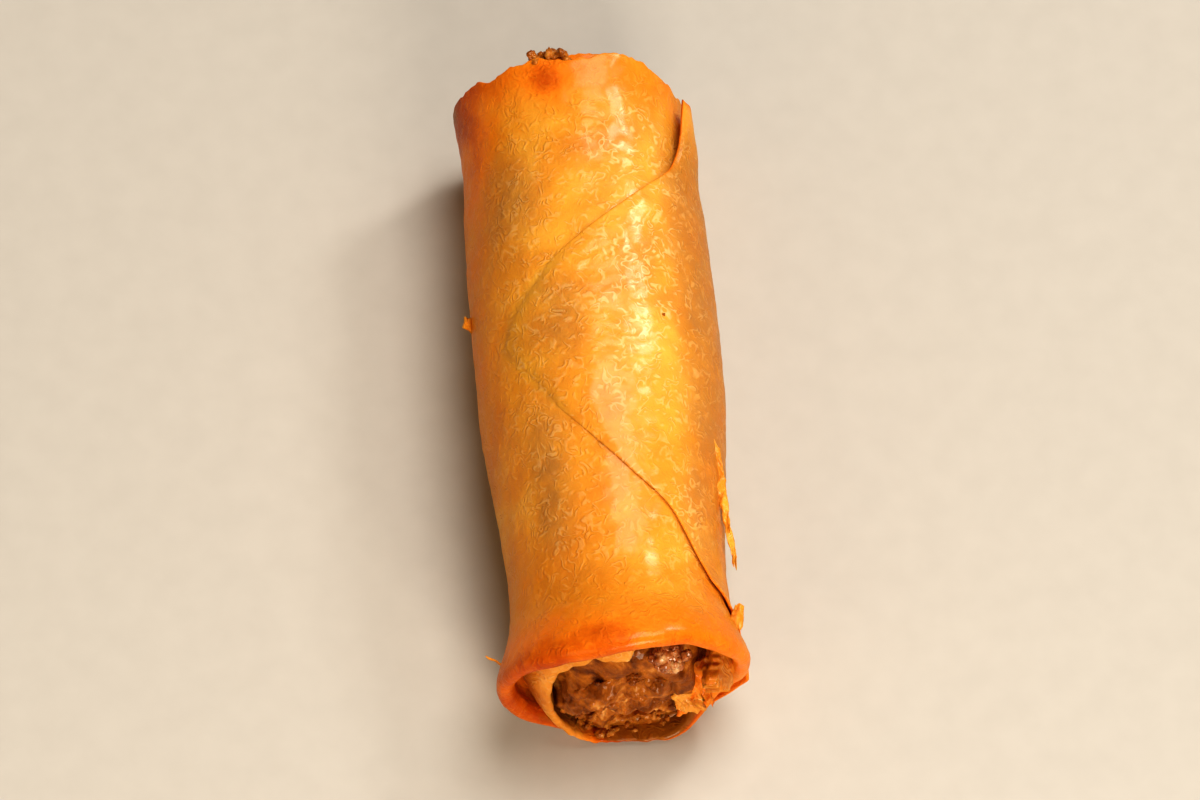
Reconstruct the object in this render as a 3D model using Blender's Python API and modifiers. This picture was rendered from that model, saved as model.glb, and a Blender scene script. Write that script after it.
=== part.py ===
"""A fried spring roll piece, open at both ends.

One square sheet of pastry is rolled about two and a half times round a core of minced filling, and its
last corner lies as a pointed flap over the top. The roll lies along Y with its wide lip towards -Y, and
rests on the flat that its own weight presses into the underside.
Metres, +Z up. The origin is under the middle of the roll, on the surface that it rests on.
"""

import math

import bmesh
import bpy

# The roll as a whole. Distances along it are measured from the lip, at -Y.
LENGTH = 0.086
BODY_RADIUS = 0.0158
AXIS_HEIGHT = 0.0148  # from the pressed flat up to the axis
FLAT_BLEND = 0.0005  # how softly the round side runs into the flat

# Narrowing towards the lip, then the flared lip itself
NECK_DEPTH = 0.00225
NECK_START = 0.012
NECK_END = 0.046
LIP_FLARE = 0.0028
LIP_REACH = 0.0075

# Gentle waist before the far end
WAIST_DEPTH = 0.0010
WAIST_PLACE = 0.076
WAIST_REACH = 0.011

# Hand-rolled unevenness of the cross-section
OVAL_DEPTH = 0.00022
DENT_DEPTH = 0.00016
DENT_DRIFT = 0.014  # how fast the dents wander round the roll

# The pastry sheet
SHEET_THICKNESS = 0.0006
LAYER_PITCH = 0.0010  # from the outside of one layer to the outside of the next
TURNS = 2.6
TIP_ANGLE = math.radians(-54)  # the flap's tip, from straight up towards +X
TIP_PLACE = 0.046
TIP_BLUNTNESS = 0.0015
RAMP_START = 0.45  # turns from the tip: each layer steps down outside the pressed flat
RAMP_SPAN = 0.6  # share of a turn that the step takes
COLUMNS_PER_TURN = 30
ROWS = 23
ROW_CROWDING = 1.35  # over 1 crowds the rows towards the lip

# The inner turns, drawn in round the filling at the lip
DRAWN_IN = 0.0034
DRAWN_REACH = 0.010
DRAWN_SIDEWAYS = 0.0004
DRAWN_DOWN = 0.0028
DRAWN_FROM_TURN = 1.35
DRAWN_TO_TURN = 1.75
RAGGED_DEPTH = 0.0011  # how far the sheet's two long edges wander

# The core of filling
CORE_CLEARANCE = 0.00035
CORE_NEAR_RECESS = 0.0022
CORE_FAR_RECESS = 0.0010
CORE_SEGMENTS = 32
CORE_RINGS = 26
CORE_CAP_RINGS = 4
CORE_LUMP = 0.0007
CORE_LUMP_SIZE = 0.0026


def smoothstep(low, high, value):
    """0 below low, 1 above high, and an S-shaped rise between them."""
    t = min(max((value - low) / (high - low), 0.0), 1.0)
    return t * t * (3.0 - 2.0 * t)


def soft_minimum(a, b, blend):
    """The smaller of two lengths, rounded where they are within blend of each other."""
    overlap = max(blend - abs(a - b), 0.0) / blend
    return min(a, b) - overlap * overlap * blend / 4.0


def body_radius(along):
    """Radius of the roll's round outside, at a distance along it from the lip."""
    neck = NECK_DEPTH * (1.0 - smoothstep(NECK_START, NECK_END, along))
    lip = LIP_FLARE * math.exp(-((along / LIP_REACH) ** 2))
    waist = WAIST_DEPTH * math.exp(-(((along - WAIST_PLACE) / WAIST_REACH) ** 2))
    return BODY_RADIUS - neck + lip - waist


def unevenness(angle, along):
    """Hand-rolled unevenness of the cross-section: a slight sag to an oval, and three shallow dents."""
    oval = OVAL_DEPTH * math.sin(2.0 * angle - 1.2)
    dents = DENT_DEPTH * math.sin(3.0 * angle + along / DENT_DRIFT)
    return oval + dents


def outer_radius(angle, along):
    """Radius of the outermost layer, with the pressed flat underneath. The angle is 0 straight up."""
    radius = body_radius(along) + unevenness(angle, along)
    downwards = -math.cos(angle)
    if downwards > 0.5:
        radius = soft_minimum(radius, AXIS_HEIGHT / downwards, FLAT_BLEND)
    return radius


def layer_drop(turn):
    """Layers stepped down so far, at a number of turns from the tip. It stays whole over the flat."""
    whole, part = divmod(turn - RAMP_START, 1.0)
    return whole + smoothstep(1.0 - RAMP_SPAN, 1.0, part)


def drawn_share(turn, along):
    """How fully the sheet is drawn in towards the filling: 1 for the inner turns at the lip."""
    inner = smoothstep(DRAWN_FROM_TURN, DRAWN_TO_TURN, turn)
    near = 1.0 - smoothstep(0.0, DRAWN_REACH, along)
    return inner * near


def rolled(turn, along):
    """The place in the roll of a point of the flat sheet."""
    angle = TIP_ANGLE + turn * math.tau
    share = drawn_share(turn, along)
    radius = outer_radius(angle, along) - LAYER_PITCH * layer_drop(turn) - DRAWN_IN * share
    x = radius * math.sin(angle) + DRAWN_SIDEWAYS * share
    z = radius * math.cos(angle) - DRAWN_DOWN * share
    near_edge = RAGGED_DEPTH * (0.5 + 0.5 * math.sin(2.0 * angle + 2.2)) * smoothstep(0.9, 1.5, turn)
    far_edge = RAGGED_DEPTH * (0.5 + 0.5 * math.sin(5.0 * angle + 0.7 * turn))
    y = near_edge + along / LENGTH * (LENGTH - near_edge - far_edge)
    return x, y - LENGTH / 2.0, z


def material(name, colour, roughness):
    """A Principled BSDF material of one linear colour."""
    made = bpy.data.materials.new(name)
    made.use_nodes = True
    shader = made.node_tree.nodes["Principled BSDF"]
    shader.inputs["Base Color"].default_value = (*colour, 1.0)
    shader.inputs["Roughness"].default_value = roughness
    shader.inputs["Metallic"].default_value = 0.0
    return made


def named_object(name, mesh_builder, finish, collection):
    """A smooth-shaded object of the shape in a bmesh."""
    mesh = bpy.data.meshes.new(name)
    mesh_builder.to_mesh(mesh)
    mesh_builder.free()
    mesh.shade_smooth()
    mesh.materials.append(finish)
    made = bpy.data.objects.new(name, mesh)
    collection.objects.link(made)
    return made


def cut_corner(sheet, point, direction):
    """Trims the flat sheet along a line through a point, on the side that direction points to."""
    bmesh.ops.bisect_plane(
        sheet,
        geom=sheet.verts[:] + sheet.edges[:] + sheet.faces[:],
        dist=0.00004,
        plane_co=point,
        plane_no=direction,
        clear_outer=True,
    )


def make_wrapper(collection):
    """The pastry: a flat sheet with one pointed end, rolled up from the other end and thickened."""
    sheet_length = TURNS * math.tau * BODY_RADIUS
    sheet = bmesh.new()
    bmesh.ops.create_grid(
        sheet,
        x_segments=round(TURNS * COLUMNS_PER_TURN),
        y_segments=ROWS,
        size=0.5,
    )
    for vertex in sheet.verts:
        vertex.co.x = (vertex.co.x + 0.5) * sheet_length
        vertex.co.y = (vertex.co.y + 0.5) ** ROW_CROWDING * LENGTH
    tip = (0.0, TIP_PLACE, 0.0)
    cut_corner(sheet, tip, (-1.0, 1.0, 0.0))
    cut_corner(sheet, tip, (-1.0, -1.0, 0.0))
    cut_corner(sheet, (TIP_BLUNTNESS, TIP_PLACE, 0.0), (-1.0, 0.0, 0.0))
    for vertex in sheet.verts:
        turn = vertex.co.x / (math.tau * BODY_RADIUS)
        vertex.co = rolled(turn, vertex.co.y)
    pastry = material("fried pastry", (0.84, 0.40, 0.07), 0.42)
    wrapper = named_object("wrapper", sheet, pastry, collection)
    thicken = wrapper.modifiers.new("sheet thickness", "SOLIDIFY")
    thicken.thickness = SHEET_THICKNESS
    thicken.offset = -1.0
    return wrapper


def core_radius(along):
    """Radius of the filling, just inside the innermost turn."""
    inside = body_radius(along) - LAYER_PITCH * layer_drop(TURNS) - SHEET_THICKNESS - CORE_CLEARANCE
    return inside - OVAL_DEPTH - DENT_DEPTH - DRAWN_IN * drawn_share(TURNS, along)


def core_lumps(angle, radius):
    """Lumps of the minced filling on its two end faces."""
    return CORE_LUMP * math.sin(3.0 * angle + 0.6) * math.sin(radius / CORE_LUMP_SIZE)


def make_filling(collection):
    """The filling: a rounded core that runs right through, from a sphere drawn out along the roll."""
    core = bmesh.new()
    bmesh.ops.create_uvsphere(core, u_segments=CORE_SEGMENTS, v_segments=CORE_RINGS, radius=1.0)
    cap_share = CORE_CAP_RINGS / CORE_RINGS
    near_face = CORE_NEAR_RECESS
    far_face = LENGTH - RAGGED_DEPTH - CORE_FAR_RECESS
    for vertex in core.verts:
        angle = math.atan2(vertex.co.x, vertex.co.y)
        place = math.acos(max(-1.0, min(1.0, vertex.co.z))) / math.pi
        near_cap = min(place / cap_share, 1.0)
        far_cap = min((1.0 - place) / cap_share, 1.0)
        side = min(max((place - cap_share) / (1.0 - 2.0 * cap_share), 0.0), 1.0)
        along = near_face + side ** ROW_CROWDING * (far_face - near_face)
        radius = core_radius(along) * min(near_cap, far_cap)
        if near_cap < 1.0:
            along += core_lumps(angle, radius)
        if far_cap < 1.0:
            along -= core_lumps(angle, radius)
        share = drawn_share(TURNS, along)
        x = radius * math.sin(angle) + DRAWN_SIDEWAYS * share
        z = radius * math.cos(angle) - DRAWN_DOWN * share
        vertex.co = (x, along - LENGTH / 2.0, z)
    mince = material("minced filling", (0.20, 0.075, 0.018), 0.5)
    return named_object("filling", core, mince, collection)


def centre_on_origin(objects):
    """Moves the parts together, so that their box stands on z = 0 with its middle over the origin."""
    bpy.context.view_layer.update()
    depsgraph = bpy.context.evaluated_depsgraph_get()
    points = []
    for item in objects:
        points += [vertex.co.copy() for vertex in item.evaluated_get(depsgraph).data.vertices]
    middle = [(min(p[i] for p in points) + max(p[i] for p in points)) / 2.0 for i in range(2)]
    for item in objects:
        item.location = (-middle[0], -middle[1], AXIS_HEIGHT)


def build():
    """Clears the scene and makes the spring roll piece."""
    for item in list(bpy.data.objects):
        bpy.data.objects.remove(item, do_unlink=True)
    collection = bpy.data.collections.new("spring roll piece")
    bpy.context.scene.collection.children.link(collection)
    wrapper = make_wrapper(collection)
    filling = make_filling(collection)
    centre_on_origin((wrapper, filling))


build()
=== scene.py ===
"""A fried spring roll piece: crisp pastry rolled round moist minced filling, open at both ends.

The sections follow the roll as it is made: the filling's core, the pastry sheet that is rolled round it, the
loose mince at both ends, the strips and flakes of pastry, and then the table, the lights and the camera.
Sizes are in millimetres until a mesh is made. Distances along the roll start at its lip, towards -Y.
"""

import math
import random

import bmesh
import bpy
import numpy as np
from mathutils import Matrix, Vector, noise


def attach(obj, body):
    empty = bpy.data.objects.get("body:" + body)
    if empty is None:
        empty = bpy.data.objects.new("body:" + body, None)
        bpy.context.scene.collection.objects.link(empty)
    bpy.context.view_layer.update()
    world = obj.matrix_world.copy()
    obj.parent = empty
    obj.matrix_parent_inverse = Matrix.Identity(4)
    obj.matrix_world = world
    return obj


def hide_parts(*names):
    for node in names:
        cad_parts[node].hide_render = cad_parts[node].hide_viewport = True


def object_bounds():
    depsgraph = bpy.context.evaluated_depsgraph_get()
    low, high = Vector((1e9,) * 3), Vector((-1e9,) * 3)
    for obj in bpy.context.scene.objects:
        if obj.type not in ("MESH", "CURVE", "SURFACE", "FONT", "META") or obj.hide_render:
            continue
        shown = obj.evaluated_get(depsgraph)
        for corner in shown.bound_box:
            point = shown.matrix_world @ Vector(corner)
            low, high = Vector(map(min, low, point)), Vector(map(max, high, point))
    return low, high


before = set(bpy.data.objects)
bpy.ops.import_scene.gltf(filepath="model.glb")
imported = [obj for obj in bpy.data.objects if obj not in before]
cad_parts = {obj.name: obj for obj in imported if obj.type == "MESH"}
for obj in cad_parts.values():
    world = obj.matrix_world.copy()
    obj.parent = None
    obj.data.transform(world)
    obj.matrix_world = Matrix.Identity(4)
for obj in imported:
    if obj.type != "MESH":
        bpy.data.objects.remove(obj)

cad_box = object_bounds()
MM = 0.001


# ----------------------------------------------------------------------------------------------------
# The shape that all the layers share.
# A hand-rolled cylinder: it narrows to a neck, flares at its lip, sags a little, and its own weight has
# pressed a narrow flat underneath.

LENGTH = (cad_box[1].y - cad_box[0].y) / MM
NEAR_END = cad_box[0].y / MM
LIP_WIDTH = (cad_box[1].x - cad_box[0].x) / MM
AXIS_HEIGHT = 14.8
BODY_RADIUS = LIP_WIDTH * 0.48
NECK_DEPTH = 2.25
NECK_START = 12.0
NECK_END = 46.0
LIP_FLARE = 3.0
LIP_ROLLED = 2.5  # the flare stays full over this much of the lip
LIP_REACH = 6.6
WAIST_DEPTH = 1.0
WAIST_PLACE = 76.0
WAIST_REACH = 11.0
OVAL_DEPTH = 0.22
DENT_DEPTH = 0.16
DENT_DRIFT = 14.0  # how slowly the dents wander round the roll
FLAT_BLEND = 0.5  # how softly the round side runs into the flat


def rise(low, high, value):
    """0 below low, 1 above high, and an S-shaped rise between them."""
    share = np.clip((value - low) / (high - low), 0.0, 1.0)
    return share * share * (3.0 - 2.0 * share)


def hump(value, middle, reach):
    """1 at the middle, fading to a third at the reach and to nearly nothing at twice the reach."""
    return np.exp(-(((value - middle) / reach) ** 2))


def outer_radius(angle, along):
    """Radius of the outermost layer. The angle is 0 straight up and grows towards +X."""
    neck = NECK_DEPTH * (1.0 - rise(NECK_START, NECK_END, along))
    lip = LIP_FLARE * hump(np.maximum(along - LIP_ROLLED, 0.0), 0.0, LIP_REACH)
    waist = WAIST_DEPTH * hump(along, WAIST_PLACE, WAIST_REACH)
    uneven = OVAL_DEPTH * np.sin(2.0 * angle - 1.2) + DENT_DEPTH * np.sin(3.0 * angle + along / DENT_DRIFT)
    radius = BODY_RADIUS - neck + lip - waist + uneven
    down = np.maximum(-np.cos(angle), 0.5)
    flat = np.where(down > 0.5, AXIS_HEIGHT / down, math.inf)
    overlap = np.maximum(FLAT_BLEND - np.abs(radius - flat), 0.0) / FLAT_BLEND
    return np.minimum(radius, flat) - overlap * overlap * FLAT_BLEND / 4.0


def around(radius, angle, along):
    """Points at a radius and an angle round the roll's axis."""
    x = radius * np.sin(angle)
    z = AXIS_HEIGHT + radius * np.cos(angle)
    return np.stack([x, NEAR_END + along, z], axis=-1)


# ----------------------------------------------------------------------------------------------------
# The filling's core.
# Minced pork packed into a sausage and steamed inside its wrapping: it holds together in one lump, torn
# into grains and small hollows at both open ends.

CORE_SEGMENTS = 168
CORE_FACE_RINGS = 46
CORE_SIDE_RINGS = 60
CORE_CLEARANCE = 0.5
CORE_NEAR_FACE = 1.6  # from the lip to the near face
CORE_FAR_FACE = 1.8  # from the far face to the far end
CORE_ROUNDING = 1.6  # how far the edges of both faces are rounded back
CORE_LIP_RADIUS = 8.3
CORE_LIP_DROP = 4.8
CORE_LIP_REACH = 13.0
LAYERS_THICK = 1.9  # all the turns of pastry together
GRAIN = 2.8  # a grain of mince
HOLLOWS = (  # in the near face: right of and above the roll's axis, width, depth
    (-5.0, 2.2, 1.7, 2.4),
    (0.6, -11.0, 2.4, 2.8),
    (4.0, -8.6, 1.6, 2.4),
    (-6.2, -8.6, 1.6, 2.0),
)
MEAT_DARK = "#5A280A"
MEAT_BROWN = "#8E4E14"
MEAT_COLOUR = "#B87026"
MEAT_PALE = "#E6AC64"


def linear(hex_colour):
    """An sRGB hex colour as linear RGBA."""
    parts = [int(hex_colour[i : i + 2], 16) / 255.0 for i in (1, 3, 5)]
    return (*[c / 12.92 if c <= 0.04045 else ((c + 0.055) / 1.055) ** 2.4 for c in parts], 1.0)


def add_node(tree, kind, settings=(), values=(), links=(), ramp=()):
    """Adds one shader node with its settings, input values, links and, on a ramp, its colour stops."""
    node = tree.nodes.new(kind)
    for name, value in dict(settings).items():
        setattr(node, name, value)
    for socket, value in dict(values).items():
        node.inputs[socket].default_value = value
    for socket, source in dict(links).items():
        tree.links.new(source, node.inputs[socket])
    for place, colour in ramp[1:-1]:
        node.color_ramp.elements.new(place)
    for stop, (place, colour) in zip(node.color_ramp.elements if ramp else (), ramp):
        stop.position = place
        stop.color = linear(colour)
    return node


def new_material(name):
    """An empty material with a Principled BSDF, and the Object coordinates that its patterns use."""
    material = bpy.data.materials.new(name)
    material.use_nodes = True
    tree = material.node_tree
    shader = tree.nodes["Principled BSDF"]
    coordinates = add_node(tree, "ShaderNodeTexCoord").outputs["Object"]
    return material, tree, shader, coordinates


def cooked_mince(name, dark, brown, middle, pale, wet):
    """Cooked mince: opaque brown grains in a thin film of fat and juice, which gives small wet glints."""
    material, tree, shader, place = new_material(name)
    clumps = add_node(
        tree,
        "ShaderNodeTexNoise",
        values={"Scale": 1.0 / (3.0 * MM), "Detail": 5.0, "Roughness": 0.62, "Distortion": 0.6},
        links={"Vector": place},
    )
    colour = add_node(
        tree,
        "ShaderNodeValToRGB",
        links={"Fac": clumps.outputs["Fac"]},
        ramp=[(0.30, dark), (0.44, brown), (0.57, middle), (0.70, pale)],
    )
    fibres = add_node(
        tree,
        "ShaderNodeTexNoise",
        values={"Scale": 1.0 / (0.5 * MM), "Detail": 4.0, "Roughness": 0.7},
        links={"Vector": place},
    )
    relief = add_node(
        tree,
        "ShaderNodeBump",
        values={"Strength": 0.7, "Distance": 0.25 * MM},
        links={"Height": fibres.outputs["Fac"]},
    )
    wetness = add_node(
        tree,
        "ShaderNodeMapRange",
        values={"From Min": 0.35, "From Max": 0.65, "To Min": 0.28, "To Max": 0.6},
        links={"Value": clumps.outputs["Fac"]},
    )
    tree.links.new(colour.outputs["Color"], shader.inputs["Base Color"])
    tree.links.new(wetness.outputs["Result"], shader.inputs["Roughness"])
    tree.links.new(relief.outputs["Normal"], shader.inputs["Normal"])
    shader.inputs["Subsurface Weight"].default_value = 0.12
    shader.inputs["Subsurface Radius"].default_value = (1.0, 0.35, 0.15)
    shader.inputs["Subsurface Scale"].default_value = 0.8 * MM
    shader.inputs["IOR"].default_value = 1.42
    shader.inputs["Specular IOR Level"].default_value = 0.30
    shader.inputs["Specular Tint"].default_value = linear("#FFD9A8")
    shader.inputs["Coat Weight"].default_value = wet
    shader.inputs["Coat Roughness"].default_value = 0.06
    return material


def wander(places, size, seed):
    """Smooth noise between about -1 and 1 at each place, in bumps of a given size."""
    shift = Vector((17.3 * seed, 5.1 * seed, 9.7 * seed))
    flat = np.asarray(places, dtype=float).reshape(-1, 3) / size
    values = [noise.noise(Vector(place) + shift) for place in flat]
    return np.array(values).reshape(np.shape(places)[:-1])


def lip_share(along):
    """1 at the lip, where the filling is drawn in and has sunk, and 0 where it fills the roll."""
    return 1.0 - rise(0.0, CORE_LIP_REACH, along)


def core_radius(along):
    """The filling's radius: drawn in at the lip, full in the roll, and swelling a little at the far end."""
    near = lip_share(along)
    swelling = 0.5 * rise(LENGTH - 20.0, LENGTH - 8.0, along)
    inside = outer_radius(math.pi * 0.5, along) - LAYERS_THICK + swelling
    return inside * (1.0 - near) + CORE_LIP_RADIUS * near - CORE_CLEARANCE


def mince_relief(points, seed):
    """Grains of mince with hollows between them, as heights in millimetres."""
    flat = points.reshape(-1, 3)
    cells = [noise.voronoi(Vector(p) / GRAIN + Vector((seed, 0.0, 0.0)))[0] for p in flat]
    first = np.array([c[0] for c in cells])
    second = np.array([c[1] for c in cells])
    gaps = 1.0 - rise(0.0, 0.22, second - first)
    heights = 0.2 - 0.3 * first * first - 0.25 * gaps
    relief = heights.reshape(points.shape[:-1])
    for size, height in ((4.6, 1.4), (2.2, 0.9), (1.1, 0.55), (0.55, 0.26)):
        relief += height * wander(points, size, seed)
    return relief


def riding_piece(name, points, faces, material):
    """A smooth piece of the roll, from points in metres."""
    mesh = bpy.data.meshes.new(name)
    mesh.from_pydata(points, [], faces)
    mesh.shade_smooth()
    mesh.materials.append(material)
    piece = bpy.data.objects.new(name, mesh)
    bpy.context.scene.collection.objects.link(piece)
    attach(piece, "root")
    return piece


def lofted(name, loops, material):
    """A closed piece through closed loops of points that run clockwise, seen from the first to the last."""
    count, size, _ = loops.shape
    index = np.arange(count * size).reshape(count, size)
    here, ahead = index[:-1], index[1:]
    sides = np.stack([here, np.roll(here, -1, 1), np.roll(ahead, -1, 1), ahead], axis=-1)
    caps = [index[0][::-1].tolist(), index[-1].tolist()]
    return riding_piece(name, loops.reshape(-1, 3) * MM, sides.reshape(-1, 4).tolist() + caps, material)


def make_core(material):
    """The core as loops of points from the middle of its near face, along its side, to the far face."""
    near_face, far_face = CORE_NEAR_FACE, LENGTH - CORE_FAR_FACE
    angle = np.linspace(0.0, math.tau, CORE_SEGMENTS, endpoint=False)
    spread = np.linspace(0.02, 1.0, CORE_FACE_RINGS)
    sides = np.linspace(0.0, 1.0, CORE_SIDE_RINGS)[1:-1]
    shares = np.concatenate([spread, np.ones(len(sides)), spread[::-1]])
    rounding = CORE_ROUNDING * (1.0 - np.sqrt(np.maximum(1.0 - spread**4, 0.0)))
    side = near_face + CORE_ROUNDING + sides * (far_face - near_face - 2.0 * CORE_ROUNDING)
    places = np.concatenate([near_face + rounding, side, (far_face - rounding)[::-1]])
    share, turn = np.meshgrid(shares, angle, indexing="ij")
    along = np.meshgrid(places, angle, indexing="ij")[0]
    points = around(core_radius(along) * share, turn, along)
    points[..., 2] -= CORE_LIP_DROP * lip_share(along)
    outwards = rise(0.80, 1.0, share)
    end_facing = (1.0 - outwards) * np.where(along < LENGTH / 2.0, -1.0, 1.0)
    facing = np.stack([np.sin(turn) * outwards, end_facing, np.cos(turn) * outwards], axis=-1)
    heights = mince_relief(points, 3)
    for x, z, width, depth in HOLLOWS:
        away = ((points[..., 0] - x) ** 2 + (points[..., 2] - AXIS_HEIGHT - z) ** 2) / width**2
        heights -= depth * np.exp(-away) * (1.0 - rise(2.0, 10.0, along))
    hidden = rise(6.0, 14.0, along) * (1.0 - rise(LENGTH - 14.0, LENGTH - 6.0, along))
    heights = heights * (1.0 - hidden) - 0.4 * outwards
    points += facing * heights[..., None]
    return lofted("minced_filling", points, material)


mince = cooked_mince("cooked minced pork", MEAT_DARK, MEAT_BROWN, MEAT_COLOUR, MEAT_PALE, 0.25)
core = make_core(mince)
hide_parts("filling")


# ----------------------------------------------------------------------------------------------------
# The pastry sheet.
# A square of wheat pastry as thin as card, rolled round the filling from one corner to the other and
# sealed at its last corner. Frying blisters it all over and browns its cut ends. Its colour also holds
# painted shade on the flanks, the left side and low in the lip, and a painted highlight at the top right.

THICKNESS = 0.42
PITCH = 0.50  # from the outside of one layer to the outside of the next
LIP_THICKER = 2.0  # several softened turns stick together in the lip
RING_THICKER = 1.0
TIP_ANGLE = math.radians(-54.0)
TIP_PLACE = 46.0
AROUND = math.tau * BODY_RADIUS
STEP_START = 0.45  # turns from the tip: each layer steps down outside the pressed flat
JOIN_TURN = 1.64  # the sheet is meshed finely as far in as this, and more coarsely from there
LAST_TURN = 2.82
DRAWN_IN = 5.2
DRAWN_SIDEWAYS = 1.1
DRAWN_DOWN = 4.2
DRAWN_REACH = 11.0
THIN_PLACES = (  # degrees round and distance along, and the reach of each
    (-44.0, 66.0, 20.0, 7.5),
    (-18.0, 48.5, 15.0, 5.5),
    (-34.0, 31.0, 14.0, 6.5),
    (-35.0, 22.0, 12.0, 5.0),
)
GOLD = "#E8A034"
PALE_GOLD = "#F6B84A"
TOASTED = "#D68A2A"
GOLDEN_BROWN = "#C87A1E"
AMBER = "#D47812"
BROWNED = "#EC7E14"
SCORCHED = "#B04002"
CHARRED = "#8A4E16"
# The filling seen through thin pastry; also painted shade on the right flank.
MEAT_SHOWING_AND_SHADE = "#B27C3C"


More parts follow.
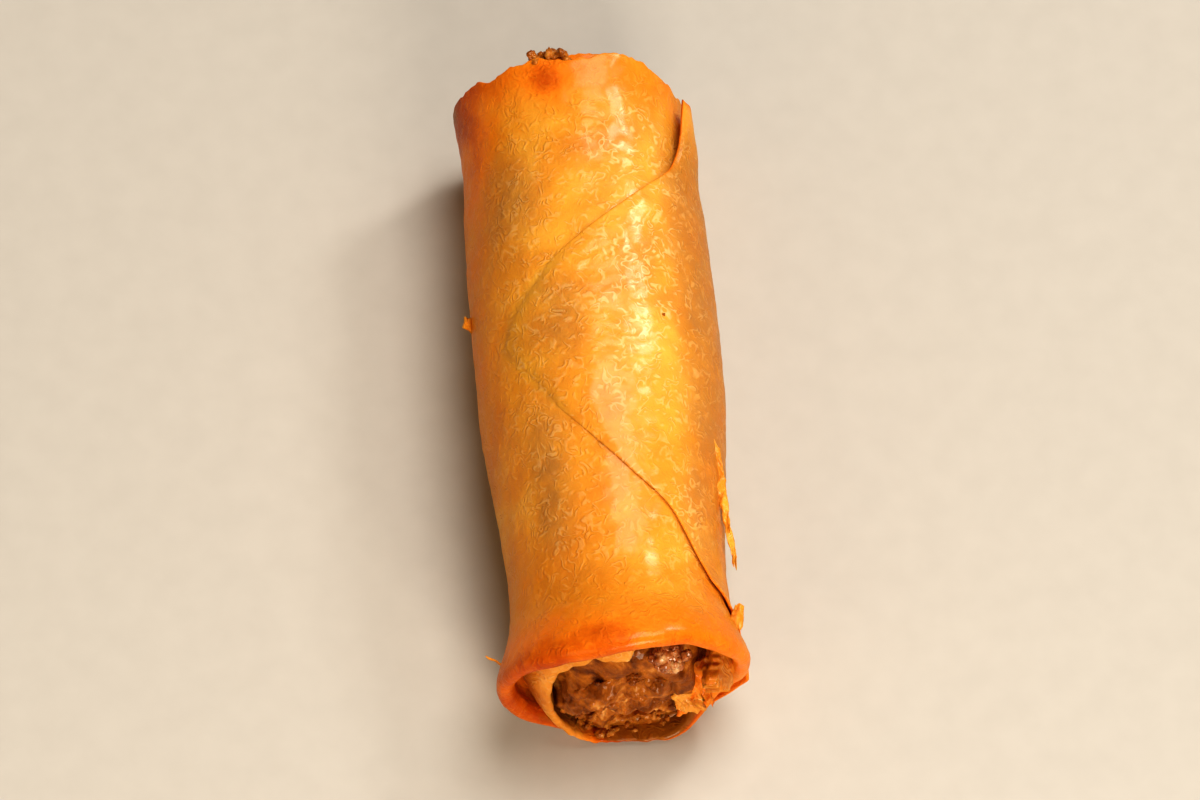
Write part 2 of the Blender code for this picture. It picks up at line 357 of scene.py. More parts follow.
def fried_pastry(name, pale, gold, toasted):
    """Fried wheat pastry: thin and translucent, golden, with a film of oil over fine blisters."""
    material, tree, shader, place = new_material(name)
    # The stored amount also holds painted shade, which the brown mix below paints in.
    browning_and_shade = add_node(tree, "ShaderNodeAttribute", {"attribute_name": "browning_and_shade"}).outputs["Fac"]
    clouds = add_node(
        tree,
        "ShaderNodeTexNoise",
        values={"Scale": 1.0 / (11.0 * MM), "Detail": 3.0, "Roughness": 0.55, "Distortion": 0.3},
        links={"Vector": place},
    )
    body = add_node(
        tree,
        "ShaderNodeValToRGB",
        links={"Fac": clouds.outputs["Fac"]},
        ramp=[(0.32, toasted), (0.50, gold), (0.68, pale)],
    )
    # Thin places, which also hold painted shade on the right flank.
    thin_places_and_shade = add_node(tree, "ShaderNodeAttribute", {"attribute_name": "thin_places_and_shade"}).outputs["Fac"]
    showing = add_node(
        tree,
        "ShaderNodeTexNoise",
        values={"Scale": 1.0 / (4.0 * MM), "Detail": 4.0, "Roughness": 0.65},
        links={"Vector": place},
    )
    showing_edge = add_node(
        tree,
        "ShaderNodeMath",
        {"operation": "MULTIPLY"},
        links={0: thin_places_and_shade, 1: showing.outputs["Fac"]},
    )
    showing_and_shade_share = add_node(
        tree,
        "ShaderNodeMapRange",
        values={"From Min": 0.05, "From Max": 0.54, "To Min": 0.0, "To Max": 0.9},
        links={"Value": showing_edge.outputs["Value"]},
    )
    through = add_node(
        tree,
        "ShaderNodeMix",
        {"data_type": "RGBA"},
        values={7: linear(MEAT_SHOWING_AND_SHADE)},
        links={0: showing_and_shade_share.outputs["Result"], 6: body.outputs["Color"]},
    )
    swirls = add_node(
        tree,
        "ShaderNodeTexNoise",
        values={"Scale": 1.0 / (1.7 * MM), "Detail": 1.5, "Roughness": 0.5, "Distortion": 0.8},
        links={"Vector": place},
    )
    swirl_phase = add_node(
        tree,
        "ShaderNodeMath",
        {"operation": "MULTIPLY"},
        values={1: 27.0},
        links={0: swirls.outputs["Fac"]},
    )
    ridges = add_node(
        tree,
        "ShaderNodeMath",
        {"operation": "COSINE"},
        links={0: swirl_phase.outputs["Value"]},
    )
    breaks = add_node(
        tree,
        "ShaderNodeTexNoise",
        values={"Scale": 1.0 / (1.3 * MM), "Detail": 1.0, "Roughness": 0.5},
        links={"Vector": place},
    )
    unbroken = add_node(
        tree,
        "ShaderNodeMapRange",
        values={"From Min": 0.40, "From Max": 0.58, "To Min": 0.12, "To Max": 1.0},
        links={"Value": breaks.outputs["Fac"]},
    )
    blisters = add_node(
        tree,
        "ShaderNodeMath",
        {"operation": "MULTIPLY"},
        links={0: ridges.outputs["Value"], 1: unbroken.outputs["Result"]},
    )
    # Pale blister ridges, partly pattern and partly painted glints, stronger where the painted highlight lies.
    painted_highlights = add_node(tree, "ShaderNodeAttribute", {"attribute_name": "painted_highlights"}).outputs["Fac"]
    raised = add_node(
        tree,
        "ShaderNodeMapRange",
        values={"From Min": 0.10, "From Max": 0.90, "To Min": 0.06, "To Max": 0.34},
        links={"Value": blisters.outputs["Value"]},
    )
    highlight_gain = add_node(
        tree,
        "ShaderNodeMapRange",
        values={"From Min": 0.0, "From Max": 1.0, "To Min": 0.60, "To Max": 1.70},
        links={"Value": painted_highlights},
    )
    ridge_and_glint_strength = add_node(
        tree,
        "ShaderNodeMath",
        {"operation": "MULTIPLY"},
        links={0: raised.outputs["Result"], 1: highlight_gain.outputs["Result"]},
    )
    uneven_browning = add_node(
        tree,
        "ShaderNodeTexNoise",
        values={"Scale": 1.0 / (5.0 * MM), "Detail": 4.0, "Roughness": 0.6},
        links={"Vector": place},
    )
    patchy = add_node(
        tree,
        "ShaderNodeMath",
        {"operation": "MULTIPLY_ADD"},
        values={1: 0.5, 2: -0.25},
        links={0: uneven_browning.outputs["Fac"]},
    )
    brown_and_shade_amount = add_node(
        tree,
        "ShaderNodeMath",
        {"operation": "ADD", "use_clamp": True},
        links={0: browning_and_shade, 1: patchy.outputs["Value"]},
    )
    brown_and_shade_share = add_node(
        tree,
        "ShaderNodeMapRange",
        values={"From Min": 0.08, "From Max": 0.75, "To Min": 0.0, "To Max": 0.92},
        links={"Value": brown_and_shade_amount.outputs["Value"]},
    )
    brown_and_shade_colour = add_node(
        tree,
        "ShaderNodeValToRGB",
        links={"Fac": brown_and_shade_amount.outputs["Value"]},
        ramp=[(0.20, GOLDEN_BROWN), (0.42, AMBER), (0.64, BROWNED), (0.88, SCORCHED), (1.0, CHARRED)],
    )
    # Browned crust, and painted shade where the stored amount holds it.
    browned = add_node(
        tree,
        "ShaderNodeMix",
        {"data_type": "RGBA"},
        links={0: brown_and_shade_share.outputs["Result"], 6: through.outputs[2], 7: brown_and_shade_colour.outputs["Color"]},
    )
    not_browned = add_node(
        tree,
        "ShaderNodeMath",
        {"operation": "MULTIPLY_ADD"},
        values={1: -0.35, 2: 1.0},
        links={0: brown_and_shade_share.outputs["Result"]},
    )
    ridge_and_glint_share = add_node(
        tree,
        "ShaderNodeMath",
        {"operation": "MULTIPLY"},
        links={0: ridge_and_glint_strength.outputs["Value"], 1: not_browned.outputs["Value"]},
    )
    # Pale cream on the ridges: partly the blisters' own colour, partly painted glints.
    ridge_and_glint_colour = add_node(
        tree,
        "ShaderNodeValToRGB",
        links={"Fac": brown_and_shade_amount.outputs["Value"]},
        ramp=[(0.10, "#FFE4B0"), (0.30, "#FFCE80"), (0.60, "#FFA840")],
    )
    crust = add_node(
        tree,
        "ShaderNodeMix",
        {"data_type": "RGBA"},
        links={0: ridge_and_glint_share.outputs["Value"], 6: browned.outputs[2], 7: ridge_and_glint_colour.outputs["Color"]},
    )
    grain = add_node(
        tree,
        "ShaderNodeTexNoise",
        values={"Scale": 1.0 / (0.45 * MM), "Detail": 3.0, "Roughness": 0.6, "Distortion": 0.5},
        links={"Vector": place},
    )
    blister_relief = add_node(
        tree,
        "ShaderNodeBump",
        values={"Strength": 1.0, "Distance": 0.036 * MM},
        links={"Height": blisters.outputs["Value"]},
    )
    grain_relief = add_node(
        tree,
        "ShaderNodeBump",
        values={"Strength": 0.6, "Distance": 0.15 * MM},
        links={"Height": grain.outputs["Fac"], "Normal": blister_relief.outputs["Normal"]},
    )
    dryness = add_node(
        tree,
        "ShaderNodeMapRange",
        values={"From Min": 0.3, "From Max": 0.7, "To Min": 0.34, "To Max": 0.56},
        links={"Value": grain.outputs["Fac"]},
    )
    tree.links.new(crust.outputs[2], shader.inputs["Base Color"])
    tree.links.new(dryness.outputs["Result"], shader.inputs["Roughness"])
    tree.links.new(grain_relief.outputs["Normal"], shader.inputs["Normal"])
    shader.inputs["Subsurface Weight"].default_value = 0.22
    shader.inputs["Subsurface Radius"].default_value = (1.0, 0.50, 0.16)
    shader.inputs["Subsurface Scale"].default_value = 1.1 * MM
    shader.inputs["IOR"].default_value = 1.34
    shader.inputs["Specular IOR Level"].default_value = 0.16
    shader.inputs["Specular Tint"].default_value = linear("#FFE2A8")
    shader.inputs["Coat Weight"].default_value = 0.19
    shader.inputs["Coat IOR"].default_value = 1.80
    shader.inputs["Coat Roughness"].default_value = 0.21
    shader.inputs["Coat Tint"].default_value = linear("#FFF2D0")
    return material


def layer_drop(turn):
    """Layers stepped down so far, at a number of turns from the tip. It stays whole over the flat."""
    whole = np.floor(turn - STEP_START)
    return whole + rise(0.4, 1.0, turn - STEP_START - whole)


def degrees_round(turn):
    """Degrees round the roll from straight up, between -180 and 180, growing towards +X."""
    return (np.degrees(TIP_ANGLE + turn * math.tau) + 180.0) % 360.0 - 180.0


def near_edge(turn, angle):
    """Where the sheet begins along the roll: the flap's lower seam, the lip, then the ring's torn edge."""
    reach = turn * AROUND
    seam = TIP_PLACE - 1.5 - 1.05 * reach + 1.2 * hump(reach, 23.0, 4.0)
    seam += 0.62 * np.clip(reach - 30.3, 0.0, 10.7)
    turned = (angle + math.pi) % math.tau - math.pi
    lip = 0.7 + 2.1 * rise(0.3, 1.6, np.abs(turned)) + 1.7 * hump(turned, 2.15, 0.5)
    lip += 1.1 * hump(turned, 0.5, 0.45)
    spots = np.stack([10.0 * np.sin(angle), 10.0 * np.cos(angle), 6.0 * turn], axis=-1)
    lip = np.maximum(lip + 0.22 * wander(spots, 2.2, 1), 0.0)
    inner = rise(1.50, 1.60, turn)
    top_left = hump(turned, -0.9, 0.9)
    ring = 0.6 + 2.2 * rise(1.75, 2.0, turn) + 0.9 * top_left
    ring += (0.15 + 0.9 * top_left) * wander(spots, 2.6, 2) + 0.30 * wander(spots, 1.0, 3)
    ring += 9.0 * rise(2.13, 2.24, turn)
    edge = lip * (1.0 - inner) + ring * inner
    return np.maximum(seam, edge)


def far_edge(turn, angle):
    """Where the sheet ends along the roll: the flap's upper seam, then the ragged far end."""
    reach = turn * AROUND
    seam = TIP_PLACE + 3.5 * rise(-1.0, 3.0, reach) + 0.72 * reach
    seam += 3.2 * (np.maximum(reach - 27.0, 0.0) / 3.0) ** 3
    spots = np.stack([14.0 * np.sin(angle), 14.0 * np.cos(angle), 5.0 * turn], axis=-1)
    right = rise(0.45, 0.95, np.sin(angle)) * rise(-0.2, 0.2, np.cos(angle))
    torn = 1.1 + 2.6 * right + 2.4 * right * (reach < 60.0)
    torn += 0.9 * wander(spots, 6.0, 4) + 0.6 * wander(spots, 2.0, 5) + 0.3 * wander(spots, 0.8, 6)
    end = LENGTH - np.clip(torn, 0.0, 7.5)
    return np.where(reach < 40.0, np.minimum(seam, end), end)


def drawn_share(turn, along):
    """How fully the sheet is drawn in round the filling: 1 for the inner turns at the lip."""
    return rise(1.48, 1.82, turn) * (1.0 - rise(0.0, DRAWN_REACH, along))


def sheet_points(turn, along, depth):
    """Points of the rolled sheet, a depth below its outer side."""
    angle = TIP_ANGLE + turn * math.tau
    share = drawn_share(turn, along)
    radius = outer_radius(angle, along) - PITCH * layer_drop(turn) - depth - DRAWN_IN * share
    points = around(radius, angle, along)
    points[..., 0] += DRAWN_SIDEWAYS * share
    points[..., 2] -= DRAWN_DOWN * share
    return points


def skin(turn, along):
    """Places on a plain cylinder, so that a pattern runs on from layer to layer."""
    return around(14.0, TIP_ANGLE + turn * math.tau, along)


def inner_share(turn):
    """0 on the outer turn and 1 on the turns inside it."""
    return rise(1.52, 1.80, turn)


def browning_and_shade_amounts(turn, along, across, from_seam, upper, flap):
    """Browning and painted shade, from 0 to 1.2: browned ends, a spot, the flap's edges; painted shade on the
    flanks, the ends' left side and the lip's underside.
    """
    sideways = np.sin(TIP_ANGLE + turn * math.tau)
    degrees = degrees_round(turn)
    left = 0.5 - 0.5 * sideways
    inner = inner_share(turn)
    near = 0.50 * hump(along, 0.0, 10.0) + 0.16 * hump(along, 0.0, 26.0)
    # Painted shade: more on the lip's left side, away from the key light.
    near += 0.22 * left * hump(along, 0.0, 9.0)
    # The far end browns further and more on its left side: partly painted shade.
    far = hump(LENGTH - along, 0.0, 7.0 + 6.0 * left) * (0.38 + 0.32 * left)
    spot = 0.32 * hump(degrees, -12.0, 12.0) * hump(along, 81.5, 2.9)
    # Painted shade: both flanks darkened, as the light falls off round the sides.
    left_flank_shade = (0.28 + 0.20 * rise(25.0, 45.0, along)) * rise(0.50, 1.0, -sideways)
    right_flank_shade = 0.30 * rise(0.50, 0.90, sideways)
    flanks = (left_flank_shade + right_flank_shade) * rise(3.0, 18.0, along) * (1.0 - 0.5 * rise(68.0, 80.0, along))
    edge = (0.18 + 0.32 * upper) * np.exp(-from_seam / 0.30) * flap
    # Painted shade: the lip's underside and the inner turns low in the mouth darkened.
    under = 0.85 * hump(degrees % 360.0, 178.0, 42.0) * hump(along, 0.0, 9.0)
    under = under * np.maximum(inner, rise(0.35, 0.95, across))
    brown = near * (1.0 - 0.85 * inner) + far + spot + flanks * (1.0 - inner) + edge + under
    return np.clip(brown, 0.0, 1.2)


def painted_highlight_amounts(turn, along, start, flap):
    """Painted highlight, from 0 to 1: a cloudy band at the top right, a patch on the neck, the lower seam's
    edge.
    """
    degrees = degrees_round(turn)
    # Painted highlight: a pale band and patch where the lamps' sheen falls.
    band = hump(degrees, 24.0, 24.0) * rise(26.0, 44.0, along) * (1.0 - rise(74.0, 84.0, along))
    neck = 0.8 * hump(degrees, 42.0, 14.0) * hump(along, 19.0, 8.0)
    cloudy = 1.0 + 0.5 * wander(skin(turn, along), 5.0, 14)
    # Painted highlight: a bright rim along the lower seam's edge.
    seam = 0.9 * np.exp(-(along - start) / 0.45) * flap * rise(10.0, 20.0, turn * AROUND)
    return np.clip((band + neck) * cloudy * (1.0 - inner_share(turn)) + seam, 0.0, 1.0)


def thinness_and_shade_amounts(turn, along):
    """Thin pastry, from 0 to 1, through which the filling darkens the crust, and painted shade on the right
    flank.
    """
    degrees = degrees_round(turn)
    bare = np.zeros_like(along)
    for turned, place, wide, long in THIN_PLACES:
        bare += hump(degrees, turned, wide) * hump(along, place, long)
    patches = rise(0.25, 0.6, wander(skin(turn, along), 9.0, 12))
    bare += 0.5 * patches * rise(60.0, 100.0, np.abs(degrees))
    # Painted shade: the right flank darkened like the thin places.
    right = rise(0.50, 0.86, np.sin(TIP_ANGLE + turn * math.tau))
    bare += right * rise(8.0, 22.0, along) * (1.0 - rise(70.0, 82.0, along))
    return np.clip(bare * (1.0 - inner_share(turn)), 0.0, 1.0)


def paint(piece, name, amounts):
    """Stores an amount at each point, which the pastry's material reads by its name."""
    layer = piece.data.attributes.new(name, "FLOAT", "POINT")
    layer.data.foreach_set("value", amounts.ravel())


def rolled_sheet(name, turns, outside_rows, inside_rows, material):
    """A stretch of the sheet between two turns, as one closed loop of points for each column."""
    angle = TIP_ANGLE + turns * math.tau
    start = near_edge(turns, angle)[:, None]
    end = far_edge(turns, angle)[:, None]
    lip = (rise(0.52, 0.62, turns) * (1.0 - rise(1.50, 1.64, turns)))[:, None]
    near_thick = THICKNESS + LIP_THICKER * lip + RING_THICKER * rise(1.6, 1.9, turns)[:, None]
    flap = (1.0 - rise(0.30, 0.50, turns))[:, None]
    bow = np.linspace(0.0, math.pi, 9)[None, 1:-1]
    near_round, far_round = near_thick * 0.62, THICKNESS * 0.5
    plain = end - start - near_round - far_round
    outside = start + near_round + plain * np.linspace(0.0, 1.0, outside_rows)[None, :]
    back = 0.5 + 0.5 * np.cos(np.linspace(0.0, math.pi, inside_rows))[None, :]
    inside = start + near_round + plain * back
    far_bow = end - far_round + far_round * np.sin(bow)
    near_bow = start + near_round - near_round * np.sin(bow)
    along = np.concatenate([outside, far_bow, inside, near_bow], axis=1)
    thick = THICKNESS + (near_thick - THICKNESS) * (1.0 - rise(1.0, 5.0, along - start))
    across = np.concatenate(
        [
            np.zeros((len(turns), outside_rows)),
            np.repeat(0.5 - 0.5 * np.cos(bow), len(turns), axis=0),
            np.ones((len(turns), inside_rows)),
            np.repeat(0.5 + 0.5 * np.cos(bow), len(turns), axis=0),
        ],
        axis=1,
    )
    turn = np.repeat(turns[:, None], along.shape[1], axis=1)
    from_seam = np.minimum(along - start, end - along)
    upper = rise(0.0, 1.0, (along - start) / np.maximum(end - start, 0.1))
    reach = turn * AROUND
    sealed = (1.0 - rise(4.0, 16.0, reach)) * flap
    feather = flap * (1.0 - rise(0.0, 2.2, from_seam)) * (0.15 + 0.05 * upper)
    top_side = feather + 0.20 * sealed * (1.0 - rise(0.0, 4.0, from_seam)) + 0.05 * sealed
    top_side = top_side + 0.38 * (1.0 - rise(2.0, 14.0, reach)) * flap
    proud = 1.7 * flap * hump(reach, 32.5, 4.5) * rise(66.0, 75.0, along)
    curled = 0.32 * flap * (1.0 - upper) * hump(from_seam, 0.0, 1.3) * rise(16.0, 26.0, reach)
    depth = top_side + across * (thick - feather + 0.06 * flap) - proud - curled
    points = sheet_points(turn, along, depth)
    angles = TIP_ANGLE + turn * math.tau
    outwards = np.stack([np.sin(angles), np.zeros_like(angles), np.cos(angles)], axis=-1)
    cylinder = skin(turn, along)
    shared = 0.24 * wander(cylinder, 8.0, 7) + 0.10 * wander(cylinder, 3.6, 8)
    own = (1.0 - across) * (0.075 * wander(points, 1.6, 9) + 0.04 * wander(points, 0.8, 10))
    underside = rise(0.80, 0.97, -np.cos(angles))
    heights = (shared + own) * (1.0 - underside)
    points += outwards * heights[..., None]
    piece = lofted(name, points, material)
    piece.data.flip_normals()  # these loops run anticlockwise
    paint(piece, "browning_and_shade", browning_and_shade_amounts(turn, along, across, from_seam, upper, flap))
    paint(piece, "painted_highlights", painted_highlight_amounts(turn, along, start, flap))
    paint(piece, "thin_places_and_shade", thinness_and_shade_amounts(turn, along))
    return piece


pastry = fried_pastry("fried spring roll pastry", PALE_GOLD, GOLD, TOASTED)
# The inner turns and the mouth's scraps: the same pastry in darker colours, painted shade inside the roll.
inner_pastry_painted_darker = fried_pastry("inner spring roll pastry", "#EEB058", "#DA9132", "#BA6B1C")
outer_columns = np.linspace(0.6 / AROUND, JOIN_TURN, 350)
outer_turn = rolled_sheet("pastry_outer_turn", outer_columns, 176, 56, pastry)
inner_columns = np.linspace(JOIN_TURN, LAST_TURN, 230)
rolled_sheet("pastry_inner_turns", inner_columns, 64, 56, inner_pastry_painted_darker)
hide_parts("wrapper")


# ----------------------------------------------------------------------------------------------------
# Loose mince.
# Grains that the cut has freed: a wet lump that stands in the gap over the core, and smaller crumbs pressed
# into both faces and the hollows beside them.


def lumps(name, spots, material, roughness, seed):
    """Rounded, knobbly lumps joined in one piece. A spot is a centre, three radii and a turn about Y."""
    points, faces = [], []
    for number, (centre, radii, turn) in enumerate(spots):
        ball = bmesh.new()
        bmesh.ops.create_icosphere(ball, subdivisions=4 if max(radii) > 1.2 else 3, radius=1.0)
        first = len(points)
        tilt = Matrix.Rotation(turn, 3, "Y") @ Matrix.Rotation(1.7 * turn, 3, "Z")
        shift = Vector((3.1 * number, 1.7 * seed, 0.0))
        fine = 4.2 * max(radii) ** 0.5
        for vertex in ball.verts:
            way = vertex.co.normalized()
            knobs = noise.noise(way * 1.6 + shift) + 0.5 * noise.noise(way * fine + shift)
            stretched = Vector((way.x * radii[0], way.y * radii[1], way.z * radii[2]))
            points.append((Vector(centre) + tilt @ stretched * (1.0 + roughness * knobs)) * MM)
        faces += [[first + vertex.index for vertex in face.verts] for face in ball.faces]
        ball.free()
    return riding_piece(name, points, faces, material)


def at_mouth(x, z, along):
    """A place by its distances right of and above the roll's axis, and along the roll."""
    return (x, NEAR_END + along, AXIS_HEIGHT + z)


random.seed(11)
nub = [(at_mouth(5.2, 6.2, 4.0), (2.0, 1.8, 1.8), 0.3)]
for _ in range(60):
    way = random.uniform(0.0, math.tau)
    out = random.uniform(0.2, 1.0)
    spread_x, spread_z = 2.4 * out * math.sin(way), 2.2 * out * math.cos(way)
    place = at_mouth(5.3 + spread_x, 5.8 + spread_z, 2.2 + 1.5 * out * out + random.uniform(-0.3, 0.3))
    size = random.uniform(0.35, 0.80)
    nub.append((place, (size, size * 0.8, size * random.uniform(0.6, 1.0)), way))
wet_mince = cooked_mince("cooked minced pork in its juice", "#5A2A12", "#94522A", "#C47E48", "#ECC08C", 1.0)
lumps("mince_nub", nub, wet_mince, 0.35, 2)

# Packed in the gap below the core, then on its near face, then along the bottom of the mouth.
crumbs = []
for _ in range(26):
    turned = random.uniform(2.3, 4.6)
    out = random.uniform(7.0, 8.3)
    size = random.uniform(0.8, 1.5)
    x, z = out * math.sin(turned), out * math.cos(turned) - CORE_LIP_DROP
    place = at_mouth(x, z, 4.2 + random.uniform(-0.6, 0.8))
    crumbs.append((place, (size, size, size * 0.8), turned))
for _ in range(16):
    way = random.uniform(0.0, math.tau)
    out = random.uniform(5.6, 7.4)
    size = random.uniform(0.35, 0.85)
    place = at_mouth(out * math.sin(way), -4.4 + out * math.cos(way), 2.3 + random.uniform(-0.3, 0.6))
    crumbs.append((place, (size, size * 0.7, size * random.uniform(0.6, 0.95)), way))
for _ in range(16):
    turned = random.uniform(2.5, 3.9)
    size = random.uniform(0.30, 0.65)
    x, z = 8.7 * math.sin(turned), 8.7 * math.cos(turned) - CORE_LIP_DROP
    place = at_mouth(x, z, random.uniform(1.6, 3.4))
    crumbs.append((place, (size, size * 0.9, size * 0.6), turned))

# All over the far face, and peeping over its rim at the top.
for _ in range(48):
    way = random.uniform(0.0, math.tau)
    out = 12.0 * math.sqrt(random.uniform(0.0, 1.0))
    size = random.uniform(0.7, 1.9)
    place = at_mouth(out * math.sin(way), out * math.cos(way), LENGTH - 2.3 + random.uniform(-0.4, 0.4))
    crumbs.append((place, (size, size * 0.6, size * random.uniform(0.4, 0.8)), way))
for _ in range(34):
    turned = math.radians(random.gauss(-14.0, 9.0))
    out = random.uniform(11.6, 14.2)
    size = random.uniform(0.4, 1.2)
    place = at_mouth(out * math.sin(turned), out * math.cos(turned), LENGTH + random.uniform(-1.6, 0.2))
    radii = (size, size * random.uniform(0.5, 0.8), size * random.uniform(0.5, 0.9))
    crumbs.append((place, radii, 5.0 * turned))

# Dark specks that have stuck to the crust: degrees round, distance along, radius.
for degrees, along, size in ((33.0, 47.8, 0.24), (118.0, 60.0, 0.20), (-130.0, 25.0, 0.22)):
    turned = math.radians(degrees)
    out = float(outer_radius(turned, along))
    place = at_mouth(out * math.sin(turned), out * math.cos(turned), along)
    crumbs.append((place, (size, size, size), turned))
lumps("mince_crumbs", crumbs, mince, 0.55, 5)


# ----------------------------------------------------------------------------------------------------
# Strips and flakes of pastry.
# The innermost turn crumples against the filling at the lip, a fold of it lines the mouth's right side, and
# frying lifts small dry flakes off the outside.


def pastry_scrap(name, middle, ways, sizes, crumple, material, seed, browned, taper=0.0):
    """A ragged scrap of pastry.

    ways are its directions across and along, sizes its width, length and thickness, and taper narrows
    its far end.
    """
    width, length, thickness = sizes
    across, along = [Vector(way).normalized() for way in ways]
    out = across.cross(along).normalized()
    columns, rows = max(int(width / 0.12), 14), max(int(length / 0.16), 14)
    share = np.linspace(-1.0, 1.0, columns)
    bow = np.linspace(0.0, math.pi, 5)[1:-1]
    front = np.linspace(-1.0, 1.0, rows)
    run = np.concatenate([front, np.ones_like(bow), front[::-1], -np.ones_like(bow)])
    side = np.concatenate([np.ones(rows), np.cos(bow), -np.ones(rows), -np.cos(bow)])
    u, v = np.meshgrid(share, run, indexing="ij")
    side = np.repeat(side[None, :], columns, axis=0)
    none = np.zeros_like(u)
    spots = np.stack([u * width, v * length, none], axis=-1)
    torn_sides = 1.0 + 0.35 * wander(np.stack([none + 9.0, v * length, none], axis=-1), 1.6, seed)
    torn_ends = 1.0 + 0.30 * wander(np.stack([u * width, none, none + 4.0], axis=-1), 1.2, seed + 1)
    place_u = u * width * 0.5 * torn_sides * (1.0 - taper * rise(-1.0, 1.0, v))
    place_v = v * length * 0.5 * torn_ends
    edge = np.clip(6.0 * (1.0 - np.abs(u)), 0.25, 1.0)
    folds = crumple * (1.3 * wander(spots, 2.9, seed + 2) + 0.25 * wander(spots, 1.2, seed + 3))
    height = folds + 0.5 * side * thickness * edge
    points = np.array(middle) + place_u[..., None] * np.array(across)
    points = points + place_v[..., None] * np.array(along) + height[..., None] * np.array(out)
    piece = lofted(name, points, material)
    piece.data.flip_normals()  # these loops run anticlockwise
    paint(piece, "browning_and_shade", browned + 0.25 * (1.0 - edge))
    return piece


# In the mouth. Each has its middle right of and above the axis and along, its directions across and along,
# its width, length and thickness, its crumple, a seed, and how browned it is.
scraps = (
    ("crumple_front", (7.4, -3.8, 2.4), (1, 0.1, -0.5), (-0.3, 0.75, 0.8), (4.2, 4.8, 0.5), 0.75, 31, 0.30),
    ("crumple_behind", (9.2, -2.6, 3.9), (1, -0.2, -0.3), (0.1, 0.6, 0.8), (4.6, 6.0, 0.5), 0.70, 41, 0.55),
    ("crumple_below", (7.8, -6.6, 3.4), (1, -0.1, 0.6), (-0.2, 0.8, 0.6), (4.2, 4.2, 0.5), 0.70, 47, 0.62),
    ("mouth_fold_right", (11.6, 1.2, 3.7), (0.5, 0.2, -0.9), (0.2, 1, 0.1), (5.0, 6.0, 2.2), 0.22, 51, 0.22),
)
for name, middle, across, up, sizes, crumple, seed, browned in scraps:
    pastry_scrap(name, at_mouth(*middle), (across, up), sizes, crumple, inner_pastry_painted_darker, seed, browned)

# On the outside. Each has its degrees round, distance along and height off the crust, and then the same,
# with its taper last.
flakes = (
    ("flake_right", (74, 9.2, 0.4), (0.9, -0.5, 0.1), (0.3, 1, 0.4), (1.9, 3.0, 0.28), 0.35, 61, 0.10, 0.3),
    ("flake_left", (-84, 6.5, 0.4), (-0.2, 0.5, 1), (-1, 0.5, 0.5), (0.7, 3.2, 0.22), 0.30, 67, 0.20, 0.6),
    ("bump_left", (-84, 54.0, 0.1), (0.1, 1, 0.1), (-0.9, 0.2, 0.9), (2.2, 1.8, 0.35), 0.40, 71, 0.30, 0.3),
    ("flake_hanging", (72, 24.5, 0.6), (0.8, 0.05, 0.3), (0.1, -1, -0.2), (1.6, 16, 0.24), 0.60, 77, 0.12, 0.6),
)
for name, (degrees, along, off), across, up, sizes, crumple, seed, browned, taper in flakes:
    turned = math.radians(degrees)
    out = float(outer_radius(turned, along)) + off
    place = at_mouth(out * math.sin(turned), out * math.cos(turned), along)
    pastry_scrap(name, place, (across, up), sizes, crumple, pastry, seed, browned, taper)


# ----------------------------------------------------------------------------------------------------
# The table, the lights and the camera.
# A plain pale surface under one broad, even light from the upper right and behind, with a small lamp for
# the gloss, one in front of the mouth, and a weak fill from the left.

TABLE_SIZE = 6000.0
FLOOR_COLOUR = "#C2BFBA"
FLOOR_GRAIN = "#BFBCB7"


def pale_surface():
    """Matt laminate: a plain surface with a very faint grain, so that the roll's shadow reads softly."""
    material, tree, shader, place = new_material("matt laminate")
    grain = add_node(
        tree,
        "ShaderNodeTexNoise",
        values={"Scale": 1.0 / (4.0 * MM), "Detail": 2.0},
        links={"Vector": place},
    )
    colour = add_node(
        tree,
        "ShaderNodeValToRGB",
        links={"Fac": grain.outputs["Fac"]},
        ramp=[(0.3, FLOOR_GRAIN), (0.7, FLOOR_COLOUR)],
    )
    tree.links.new(colour.outputs["Color"], shader.inputs["Base Color"])
    shader.inputs["Roughness"].default_value = 0.75
    return material


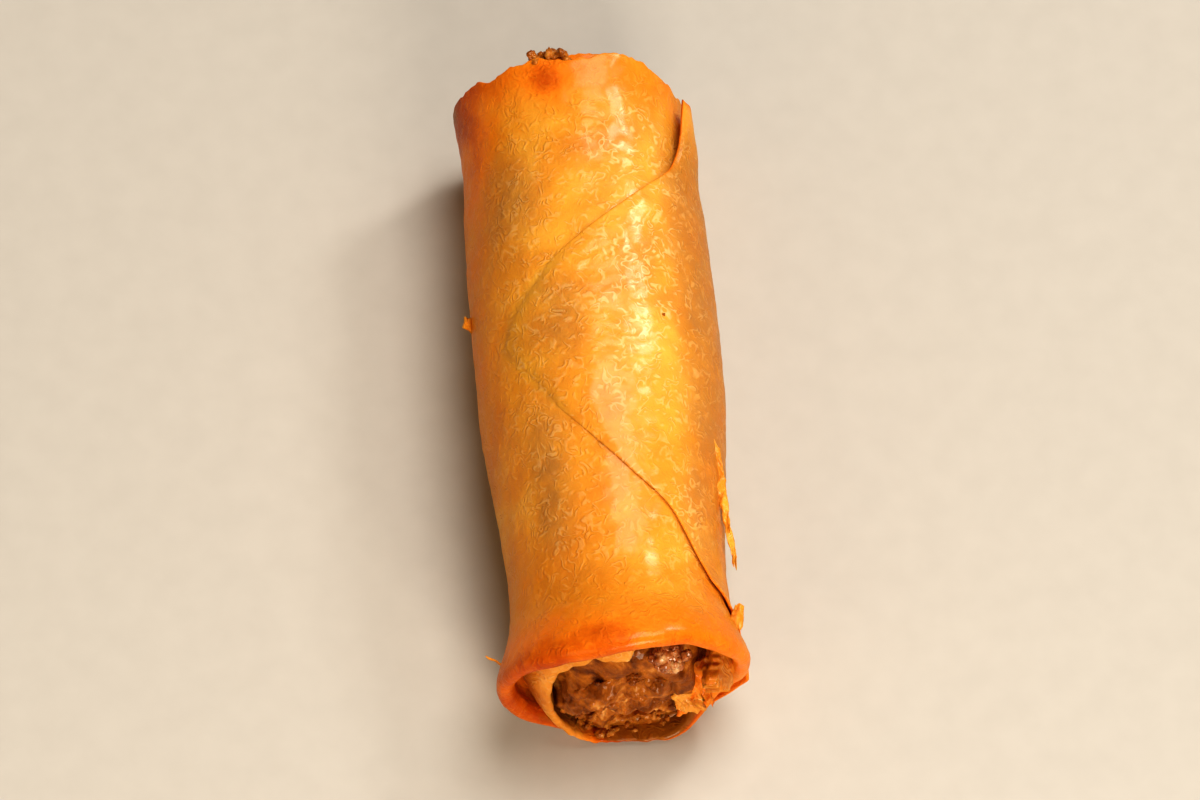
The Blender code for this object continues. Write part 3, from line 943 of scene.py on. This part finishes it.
def make_floor():
    """One square plane, far wider than the view."""
    half = TABLE_SIZE / 2.0 * MM
    mesh = bpy.data.meshes.new("table")
    corners = [(-half, -half, 0.0), (half, -half, 0.0), (half, half, 0.0), (-half, half, 0.0)]
    mesh.from_pydata(corners, [], [(0, 1, 2, 3)])
    mesh.materials.append(pale_surface())
    table = bpy.data.objects.new("table", mesh)
    bpy.context.scene.collection.objects.link(table)


def add_light(kind, name, place, power, colour):
    """A lamp that faces the roll from a place. Returns its data, for its size to be set."""
    lamp = bpy.data.lights.new(name, kind)
    lamp.energy = power
    lamp.color = linear(colour)[:3]
    light = bpy.data.objects.new(name, lamp)
    light.location = place
    light.rotation_euler = Vector(place).to_track_quat("Z", "Y").to_euler()
    bpy.context.scene.collection.objects.link(light)
    return lamp


def aim_camera(azimuth, elevation, distance, lens, look_at):
    """A long lens that looks down on the roll along its length."""
    across, up = math.radians(azimuth), math.radians(elevation)
    back = Vector((math.sin(across) * math.cos(up), -math.cos(across) * math.cos(up), math.sin(up)))
    camera = bpy.data.objects.new("camera", bpy.data.cameras.new("camera"))
    camera.data.lens = lens
    camera.location = look_at + back * distance
    camera.rotation_mode = "QUATERNION"
    camera.rotation_quaternion = back.to_track_quat("Z", "Y")
    bpy.context.scene.collection.objects.link(camera)
    bpy.context.scene.camera = camera


make_floor()
key_window = add_light("SUN", "key_window", (0.12, 0.10, 0.51), 1.70, "#FFF9F0")
key_window.angle = math.radians(33.0)
for name, place, size, power, colour in (
    ("gloss_softbox", (0.34, 0.26, 0.40), 0.11, 0.75, "#FFF9F0"),
    ("front_softbox", (0.10, -0.42, 0.24), 0.19, 1.25, "#FFF4E2"),
    ("left_fill", (-0.30, -0.32, 0.30), 0.30, 0.36, "#FFE2B8"),
):
    softbox = add_light("AREA", name, place, power, colour)
    softbox.size = size
world = bpy.data.worlds.new("studio")
world.use_nodes = True
world.node_tree.nodes["Background"].inputs["Color"].default_value = linear("#FFDDB0")
world.node_tree.nodes["Background"].inputs["Strength"].default_value = 0.10
bpy.context.scene.world = world
bpy.context.scene.view_settings.view_transform = "Standard"
bpy.context.scene.view_settings.look = "High Contrast"
aim_camera(-5.0, 65.0, 1.03, 240.0, Vector((0.0, 0.0, 0.014)))
